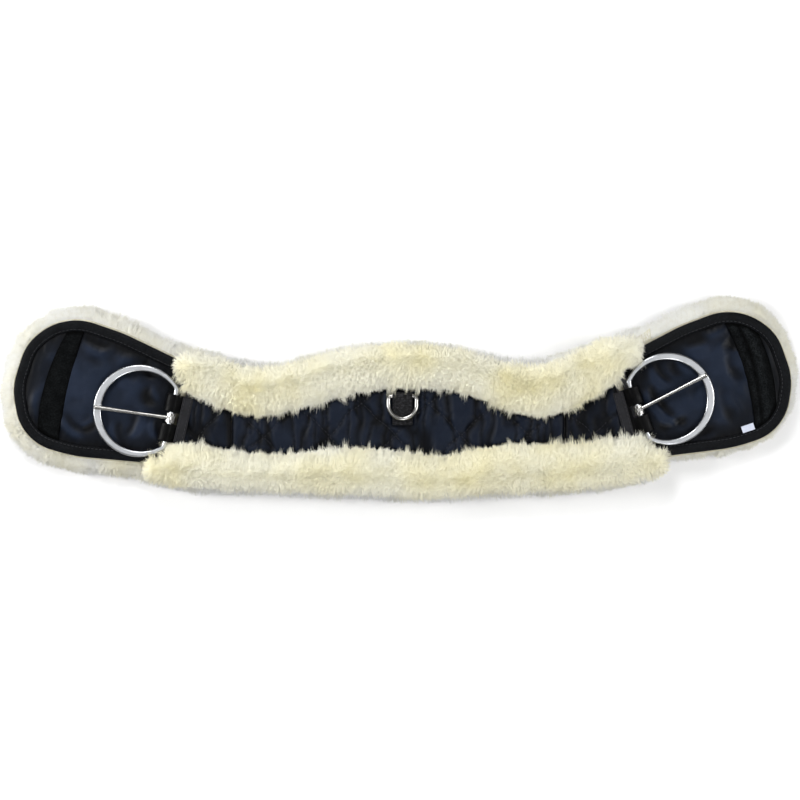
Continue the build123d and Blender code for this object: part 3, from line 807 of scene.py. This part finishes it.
def swept(name, spine, inward, profile, material, wobble):
    """A closed profile (distance in, height) carried along a flat line, with closed ends."""
    count, ring = len(spine), len(profile)
    depth = np.array([p[0] for p in profile])
    height = np.array([p[1] for p in profile])
    points = np.empty((count, ring, 3))
    points[:, :, :2] = spine[:, None, :] + inward[:, None, :] * depth[None, :, None]
    points[:, :, 2] = height[None, :] + wobble
    points = points.reshape(-1, 3)
    faces = []
    for i in range(count - 1):
        for j in range(ring):
            a, b = i * ring + j, i * ring + (j + 1) % ring
            faces += [(a, b, b + ring), (a, b + ring, a + ring)]
    mesh = bpy.data.meshes.new(name)
    last = (count - 1) * ring
    caps = [tuple(range(ring))[::-1], tuple(range(last, last + ring))]
    mesh.from_pydata((points * MM).tolist(), [], faces + caps)
    fix = bmesh.new()
    fix.from_mesh(mesh)
    bmesh.ops.recalc_face_normals(fix, faces=fix.faces)
    fix.to_mesh(mesh)
    fix.free()
    return piece(name, mesh, material)


def open_edge(side, inset, count):
    """The pad's edge from one side of its inner end round the tip to the other."""
    loop = pad_outline(side, inset)
    local = local_to(side, loop)
    at_end = local[:, 0] < -76.0
    first = next(i for i in range(len(loop)) if at_end[i - 1] and not at_end[i])
    loop = np.roll(loop, -first, axis=0)
    keep = ~np.roll(at_end, -first)
    return resampled(loop[keep], count, closed=False)


def binding(side):
    """Ribbed tape folded over the pad's edge."""
    count = 620
    spine = open_edge(side, 0.0, count)
    along = np.gradient(spine, axis=0)
    inward = np.column_stack([-along[:, 1], along[:, 0]])
    inward /= np.linalg.norm(inward, axis=1, keepdims=True)
    run = np.arange(count)
    ribs = 0.07 * (run % 2)
    slack = 0.16 * smooth_noise(spine, 9.0, 41) + 0.10 * smooth_noise(spine, 3.5, 42)
    depth = np.array([p[0] for p in BINDING_PROFILE])
    height = np.array([p[1] for p in BINDING_PROFILE])
    crown = np.clip((height - 19.5) / 2.0, 0, 1) * np.clip(depth / 3.0, 0.3, 1)
    wobble = (ribs + slack)[:, None] * crown[None, :]
    made = swept(f"pad_edge_tape_{side}", spine, inward, BINDING_PROFILE, tape, wobble)
    dress(made, "girth", "binding", f"pad_binding_{side}")


def thread_run(name, middles, directions, length, radius, material=None):
    """Separate stitches as small closed spindles of thread."""
    count = len(middles)
    directions = directions / np.linalg.norm(directions, axis=1, keepdims=True)
    up = np.tile([0.0, 0.0, 1.0], (count, 1))
    side = np.cross(directions, up)
    side /= np.linalg.norm(side, axis=1, keepdims=True)
    up = np.cross(side, directions)
    stations = [(-0.5, 0.0, -0.6), (-0.36, 0.85, 0.0), (0.0, 1.0, 0.25), (0.36, 0.85, 0.0),
                (0.5, 0.0, -0.6)]
    sides = 6
    points = []
    for along, swell, rise in stations:
        centre = middles + directions * (along * length) + up * (rise * radius)
        if swell == 0:
            points.append(centre)
            continue
        for corner in range(sides):
            angle = 2 * math.pi * corner / sides
            points.append(centre + (side * math.cos(angle) + up * math.sin(angle)) * radius * swell)
    total = len(points)
    points = np.stack(points, axis=1).reshape(-1, 3)
    pattern = []
    for corner in range(sides):
        after = (corner + 1) % sides
        pattern.append((0, 1 + after, 1 + corner))
        pattern.append((total - 1, total - 1 - sides + corner, total - 1 - sides + after))
        for ring in range(2):
            a, b = 1 + ring * sides + corner, 1 + ring * sides + after
            pattern += [(a, b, b + sides), (a, b + sides, a + sides)]
    faces = (np.array(pattern)[None] + total * np.arange(count)[:, None, None]).reshape(-1, 3)
    return piece(name, triangle_mesh(name, points, faces), material or thread)


def stitches_of(node):
    """Where a CAD group of stitches lies: each one's middle and direction."""
    points = coordinates(nodes[node].data).reshape(-1, 24, 3)
    middles = points.mean(axis=1)
    directions = []
    for spread in points - middles[:, None]:
        _, axes = np.linalg.eigh(spread[:, :2].T @ spread[:, :2])
        directions.append((*axes[:, 1], 0.0))
    return middles, np.array(directions)


def stitched(name, node, length, radius, material=None, laid=None):
    """A CAD node's stitches as thread; laid moves their middles onto the finished cloth."""
    middles, directions = stitches_of(node)
    if laid:
        laid(middles)
    made = thread_run(name, middles, directions, length, radius, material)
    dress(made, "girth", "thread", node)


def pad_stitches(side):
    """The line of stitches along the binding, sunk a little into the tape."""
    def laid(middles):
        middles[:, 2] = BINDING_STITCH_Z
    stitched(f"edge_thread_{side}", f"binding_stitches_{side}", 3.0, 0.30, laid=laid)


KEEPER_EDGES = {     # inner and outer edge: reach of the bow, how much it bows, where it peaks
    "left": ((33.5, 0.0008, 20.0), (56.8, 0.0024, -8.0)),
    "right": ((42.8, 0.0018, 5.0), (70.0, 0.0030, 5.0)),
}


def keeper(side):
    """A brushed elastic band caught under the binding; the right one is bunched into a ridge."""
    rows, columns = 150, 30
    v = np.linspace(-70, 70, rows)
    (inner, inner_bow, inner_peak), (outer, outer_bow, outer_peak) = KEEPER_EDGES[side]
    near = inner - inner_bow * (v - inner_peak) ** 2
    far = outer - outer_bow * (v - outer_peak) ** 2
    rim = pad_outline(side, 10.2)
    rim_local = local_to(side, rim)
    share = np.linspace(0, 1, columns)
    u = near[:, None] + (far - near)[:, None] * share[None, :]
    grid = np.stack([u, np.repeat(v[:, None], columns, axis=1)], axis=2)
    for column in range(columns):
        line = grid[:, column]
        keep = line[inside(line, rim_local)]
        grid[:, column] = resampled(keep, rows, closed=False)
    flat = from_local(side, grid.reshape(-1, 2))
    t = np.tile(share, rows)
    edge = distance_to(flat, rim)
    rolled = np.minimum(t, 1 - t)
    height = COVER_Z + 1.5 + 0.9 * np.sqrt(np.clip(rolled / 0.06, 0, 1)) + 0.5 * np.sin(math.pi * t)
    height += 0.12 * smooth_noise(flat, 5.0, 61) + 0.25 * smooth_noise(flat, 18.0, 62)
    if side == "right":
        ridge = 0.62 + 0.05 * np.sin(grid.reshape(-1, 2)[:, 1] / 22.0)
        height += 2.0 * np.exp(-((t - ridge) / 0.13) ** 2)
        height -= 0.8 * np.exp(-((t - ridge + 0.24) / 0.07) ** 2)
        height += 0.6 * np.exp(-((t - 0.22) / 0.10) ** 2)
    height = np.minimum(height, 20.6 + (height - 20.6) * np.clip(edge / 5.0, 0.0, 1.0))
    points = np.column_stack([flat, height])
    index = np.arange(rows * columns).reshape(rows, columns)
    a, b, c, d = index[:-1, :-1], index[:-1, 1:], index[1:, 1:], index[1:, :-1]
    faces = np.concatenate([np.stack(corners, -1).reshape(-1, 3) for corners in ([a, b, c], [a, c, d])])
    if side == "left":
        faces = faces[:, ::-1]
    made = piece(f"keeper_band_{side}", triangle_mesh("keeper", points, faces), elastic)
    solid_cloth(made, 1.2)
    dress(made, "girth", "elastic", f"elastic_keeper_{side}")


# ==== Quilted middle ====
def quilt_lines():
    """The diagonals, as dense points."""
    lines = []
    for step in range(-3, 6):
        x = QUILT_CROSSING[0] + step * QUILT_PITCH
        for lean in (-1, 1):
            t = np.linspace(-75, 75, 300)
            lines.append(np.column_stack([x + t, QUILT_CROSSING[1] + lean * t]))
    return np.vstack(lines)


def wandering(points):
    """How far the quilting lines wander from straight at each point."""
    flat = np.asarray(points)[:, :2]
    return np.column_stack([smooth_noise(flat, 17.0, 26), smooth_noise(flat, 17.0, 27)]) * 3.0


def quilted_panel(name, quilting):
    """Quilted cotton over foam: sewn diagonals, puffed between them, gathered in the middle panel."""
    loop = top_outline(f"quilted_panel_{name}", 300 if name == "center" else 150)
    spacing = 2.2
    flat, faces, rim = patch(loop, spacing, 21)
    seam = distance_to(flat - wandering(flat), quilting)
    edge = distance_to(flat, loop)
    sewn = np.minimum(seam, edge)
    gathered = 1.0 if name == "center" else 0.7
    bent = flat + np.column_stack([4.0 * smooth_noise(flat, 22.0, 22), np.zeros(len(flat))])
    gathers = np.minimum(np.abs(smooth_noise(bent * [1.0, 0.16], 7.0, 23, 1)) / 0.38, 1.4) ** 0.75
    puckers = np.minimum(np.abs(smooth_noise(bent * [1.0, 0.45], 4.5, 24, 1)) / 0.38, 1.4)
    relief = 2.8 * gathers + 1.5 * (puckers * np.exp(-seam / 9.0))
    held = (1 - 0.45 * np.exp(-seam / 1.8)) * (1 - np.exp(-edge / 2.0))
    height = QUILT_Z - 0.6 + 0.8 * (1 - np.exp(-sewn / 5.0)) + held * gathered * relief
    start = np.column_stack([flat, height])
    made = piece(f"quilt_{name}", triangle_mesh("quilt", start, faces), quilted)
    rest = start.copy()
    rest[:, 0] = flat[:, 0] * (1 + 0.16 * gathered)
    pinned = np.nonzero((np.arange(len(flat)) < rim) | (seam < 0.45 * spacing))[0]
    settle(made, pinned, rest, 1.5, 18, 2.2)
    points = coordinates(made.data)
    points[:, 2] = np.clip(points[:, 2], QUILT_Z - 0.6, None)
    points[:, 2] -= 0.35 * np.exp(-(seam / 1.3) ** 2)
    x, y = points[:, 0], points[:, 1]
    beside_tab = np.maximum(np.abs(x - TAB_MIDDLE) - TAB_HALF_WIDTH, 0)
    under_tab = np.hypot(beside_tab, np.maximum(TAB_END - y, 0))
    under_strip = np.maximum(0, np.minimum(x - STRIP_INNER_EDGES[0], STRIP_INNER_EDGES[1] - x))
    free = np.minimum(under_tab / 3.0, under_strip / 12.0 if name != "center" else 9.0)
    points[:, 2] = np.minimum(points[:, 2], 23.9 + 4.0 * np.clip(free, 0, 1))
    set_coordinates(made.data, points)
    subdivided(made)
    surface = coordinates(made.data)
    solid_cloth(made, 1.4)
    dress(made, "girth", "quilted_cotton", f"quilted_panel_{name}")
    return surface


def quilt_threads(surface):
    """The quilting stitches, laid on the cloth."""
    tree = tree_of(surface[:, :2])

    def laid(middles):
        middles[:, :2] += wandering(middles)
        middles[:, 2] = surface[nearest_in(tree, middles), 2] + THREAD_LIFT
    stitched("quilt_thread", "quilting_stitches", 2.2, 0.22, navy_thread, laid)


# ==== Straps, tab and label ====
def straps(side):
    fold = remeshed(f"buckle_strap_{side}", f"strap_fold_{side}", 0.45, 3, black_leather)
    points = coordinates(fold.data)
    bar = np.array(BAR_MIDDLE[side])
    outwards = np.array(BAR_OUTWARD[side])
    along = np.array([-outwards[1], outwards[0]])
    u = (points[:, :2] - bar) @ outwards
    v = (points[:, :2] - bar) @ along
    bulge = np.where(u > 0, 0.85 * u, 0.0) + 0.25 * smooth_noise(points, 7.0, 51)
    points[:, :2] += bulge[:, None] * outwards
    points[:, 2] += 0.2 * smooth_noise(np.column_stack([v, u * 0.2]), 7.0, 52) * (points[:, 2] > 24.0)
    set_coordinates(fold.data, points)
    dress(fold, "girth", "strap_leather", f"buckle_strap_{side}")
    strip = remeshed(f"strap_strip_{side}", f"leather_strip_{side}", 0.4, 2, grey_leather)
    dress(strip, "girth", "strip_leather", f"strap_strip_{side}")
    stitched(f"strip_thread_{side}", f"strip_stitches_{side}", 3.0, 0.28)


def ring_tab():
    tab = remeshed("center_ring_tab", "ring_tab_webbing", 0.4, 2, webbing)
    dress(tab, "girth", "webbing", "center_ring_tab")
    stitched("tab_thread", "center_tab_stitches", 3.2, 0.35)


def label():
    """A short loop of white tape, a little curled."""
    made = remeshed("size_label", "white_label", 0.22, 2, label_tape)
    points = coordinates(made.data)
    middle = points.mean(axis=0)
    points[:, 2] += 1.6 + 0.5 * np.cos((points[:, 0] - middle[0]) / 5.0)
    set_coordinates(made.data, points)
    dress(made, "girth", "label", "size_label")


# ==== Everything ====
wool_lining()
wool_roll("fleece_roll_upper", "upper_roll", 100, ROLL_STRANDS, -1)
wool_roll("fleece_roll_lower", "lower_roll", 200, ROLL_STRANDS, 1)
for side in SIDES:
    pad_cover(side)
    binding(side)
    pad_stitches(side)
    keeper(side)
    straps(side)
lines = quilt_lines()
surfaces = [quilted_panel(name, lines) for name in ("left", "center", "right")]
quilt_threads(np.vstack(surfaces))
ring_tab()
label()


# ==== Stage ====
FLOOR_HALF = 6.0
FLOOR_DROP = 0.0002        # keeps the floor clear of the wool's underside


def floor():
    """A pale table that glows: faintly near the girth, as painted light that lifts its shadows, and more
    far away, so that it meets the white beyond it.
    """
    s = Shader("white_table")
    shade = s.ramp(s.noise(3, 2, 0.5), [(0.3, 0.93), (0.7, 0.95)])
    reach = s.add("ShaderNodeVectorMath", {"operation": "LENGTH"})
    s.tree.links.new(s.place, reach.inputs[0])
    # painted light: the table's glow, faint near the girth so its shadows are lifted, stronger far away
    glow = s.add("ShaderNodeMapRange", {"interpolation_type": "SMOOTHSTEP"}, Value=reach.outputs["Value"])
    for socket, value in (("From Min", 1.3), ("From Max", 3.6), ("To Min", 0.06), ("To Max", 0.76)):
        glow.inputs[socket].default_value = value
    s.tree.links.new(glow.outputs["Result"], s.surface.inputs["Emission Strength"])
    material = s.finish(shade, 0.9, Emission_Color=(1.0, 1.0, 1.0, 1.0))
    mesh = bpy.data.meshes.new("floor")
    corners = [(x * FLOOR_HALF, y * FLOOR_HALF, 0) for x, y in ((-1, -1), (1, -1), (1, 1), (-1, 1))]
    mesh.from_pydata(corners, [], [(0, 1, 2, 3)])
    made = piece("floor", mesh, material)
    made.location.z = -FLOOR_DROP


# name, place, target, size and power, in metres and watts
LIGHTS = [
    ("softbox_far", (-0.5, 1.7, 1.6), (0, 0, 0), 0.9, 27.0),
    ("softbox_left", (-1.9, 0.3, 1.2), (-0.1, 0, 0), 0.8, 27.0),
    ("softbox_right", (1.9, 0.1, 1.5), (0.1, 0, 0), 1.0, 22.0),
    ("softbox_near", (0.3, -1.8, 1.8), (0, 0, 0), 1.1, 21.0),
    ("panel_left", (-0.85, 0.1, 2.1), (-0.2, 0, 0), 0.9, 2.4),
    ("panel_right", (0.85, 0.1, 2.1), (0.2, 0, 0), 0.9, 2.4),
]


def area_light(name, place, target, size, power):
    data = bpy.data.lights.new(name, "AREA")
    data.shape = "DISK"
    data.size = size
    data.energy = power
    lamp = bpy.data.objects.new(name, data)
    bpy.context.scene.collection.objects.link(lamp)
    lamp.location = place
    lamp.rotation_euler = (Vector(target) - Vector(place)).to_track_quat("-Z", "Y").to_euler()


def stage():
    floor()
    for name, place, target, size, power in LIGHTS:
        area_light(name, place, target, size, power)
    world = bpy.data.worlds.new("studio")
    bpy.context.scene.world = world
    world.use_nodes = True
    tree = world.node_tree
    sky = tree.nodes["Background"]
    sky.inputs["Color"].default_value = (1.0, 1.0, 1.0, 1.0)
    seen = tree.nodes.new("ShaderNodeLightPath").outputs["Is Camera Ray"]
    strength = tree.nodes.new("ShaderNodeMapRange")
    strength.inputs["To Min"].default_value = 0.14
    strength.inputs["To Max"].default_value = 0.9
    tree.links.new(seen, strength.inputs["Value"])
    tree.links.new(strength.outputs["Result"], sky.inputs["Strength"])


def camera():
    data = bpy.data.cameras.new("camera")
    data.lens = 90.0
    data.sensor_width = 36.0
    made = bpy.data.objects.new("camera", data)
    bpy.context.scene.collection.objects.link(made)
    made.location = (-0.001, 0.0, 2.024)
    bpy.context.scene.camera = made


stage()
camera()
bpy.context.scene.view_settings.view_transform = "Standard"
